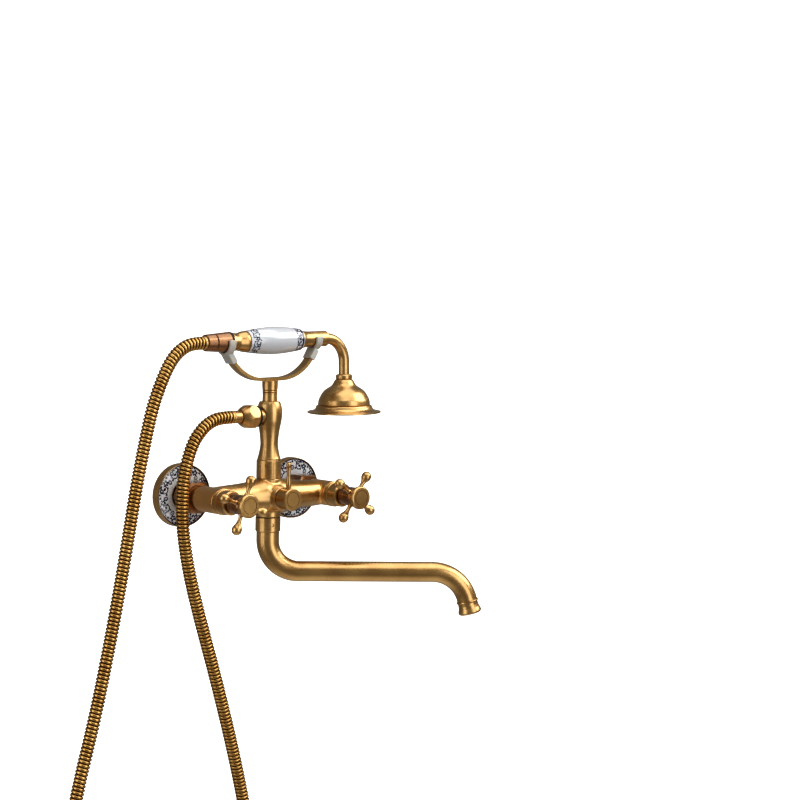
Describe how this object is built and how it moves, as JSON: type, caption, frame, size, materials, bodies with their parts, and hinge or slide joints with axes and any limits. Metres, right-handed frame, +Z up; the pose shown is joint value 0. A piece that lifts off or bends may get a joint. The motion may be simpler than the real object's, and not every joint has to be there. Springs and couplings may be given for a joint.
{
  "type": "bath shower mixer tap",
  "caption": "Wall-mounted two-handle bath and shower mixer with a swinging spout, lever diverter, hose and a porcelain-gripped hand shower on a cradle.",
  "frame": {"origin": "on the finished wall, midway between the two water inlets", "axes": "+X to the right as one faces the wall, +Y into the wall, +Z up"},
  "size_m": [0.4521, 0.2189, 0.7092],
  "materials": {
    "antique_brass": "brushed antique patina",
    "raw_brass": "machined",
    "copper_brown_brass": "brushed, copper-brown patina",
    "decorated_porcelain": "glazed white with cobalt scroll bands",
    "white_plastic": "satin",
    "black_rubber": "matte",
    "cartridge_plastic": "moulded",
    "steel_screw": "machined",
    "hose_brass": "interlocked rings, aged"
  },
  "bodies": {
    "mixer": {"mixer_body": "antique_brass", "valve_bonnet_left": "antique_brass", "valve_bonnet_right": "antique_brass", "diverter_bonnet": "antique_brass", "riser": "antique_brass", "riser_collar": "antique_brass", "hose_nipple": "antique_brass", "cradle_post": "antique_brass", "cradle_strap": "antique_brass", "spout_collar": "antique_brass", "wall_flange_left": "antique_brass", "wall_flange_right": "antique_brass", "hose_hex_nut": "antique_brass", "outlet_ferrule": "antique_brass", "wall_union_left": "raw_brass", "wall_union_right": "raw_brass", "union_nut_left": "copper_brown_brass", "union_nut_right": "copper_brown_brass", "flange_inlay_left": "decorated_porcelain", "flange_inlay_right": "decorated_porcelain", "cradle_fork_left": "white_plastic", "cradle_fork_right": "white_plastic", "riser_o_ring": "black_rubber", "outlet_gasket": "black_rubber", "union_washers": "black_rubber", "valve_cartridge_left": "cartridge_plastic", "valve_cartridge_right": "cartridge_plastic", "diverter_cartridge": "cartridge_plastic", "grub_screws": "steel_screw", "cradle_screw": "steel_screw", "shower_hose": "hose_brass"},
    "left_handle": {"valve_spindle_left": "raw_brass", "handle_hub_left": "antique_brass", "handle_arms_left": "antique_brass", "handle_screw_left": "steel_screw", "handle_cap_left": "antique_brass"},
    "right_handle": {"valve_spindle_right": "raw_brass", "handle_hub_right": "antique_brass", "handle_arms_right": "antique_brass", "handle_screw_right": "steel_screw", "handle_cap_right": "antique_brass"},
    "diverter_handle": {"diverter_spindle": "raw_brass", "diverter_knob": "antique_brass", "diverter_lever": "antique_brass", "diverter_cap": "antique_brass"},
    "spout": {"spout_tube": "antique_brass", "spout_o_rings": "black_rubber", "spout_nozzle": "antique_brass", "spout_aerator": "cartridge_plastic"},
    "hand_shower": {"porcelain_grip": "decorated_porcelain", "grip_tube": "raw_brass", "rear_ferrule": "antique_brass", "handset_gasket": "black_rubber", "front_ferrule": "antique_brass", "handset_pipe": "antique_brass", "shower_bell": "antique_brass", "spray_plate": "antique_brass", "hose_cone_nut": "copper_brown_brass", "handset_ferrule": "antique_brass"}
  },
  "joints": [
    {"name": "left_handle_turn", "type": "hinge", "parent": "mixer", "child": "left_handle", "pos_m": [-0.075, -0.11, 0], "axis": [0, -1, 0], "range_deg": [0, 90]},
    {"name": "right_handle_turn", "type": "hinge", "parent": "mixer", "child": "right_handle", "pos_m": [0.075, -0.11, 0], "axis": [0, -1, 0], "range_deg": [-90, 0]},
    {"name": "diverter_turn", "type": "hinge", "parent": "mixer", "child": "diverter_handle", "pos_m": [0, -0.096, 0], "axis": [0, -1, 0], "range_deg": [0, 90]},
    {"name": "spout_swivel", "type": "hinge", "parent": "mixer", "child": "spout", "pos_m": [0, -0.061, -0.03], "axis": [0, 0, 1], "range_deg": [-129, 36]},
    {"name": "hand_shower_lift", "type": "slide", "parent": "mixer", "child": "hand_shower", "axis": [0, 0, 1], "range_m": [0, 0.04]}
  ]
}
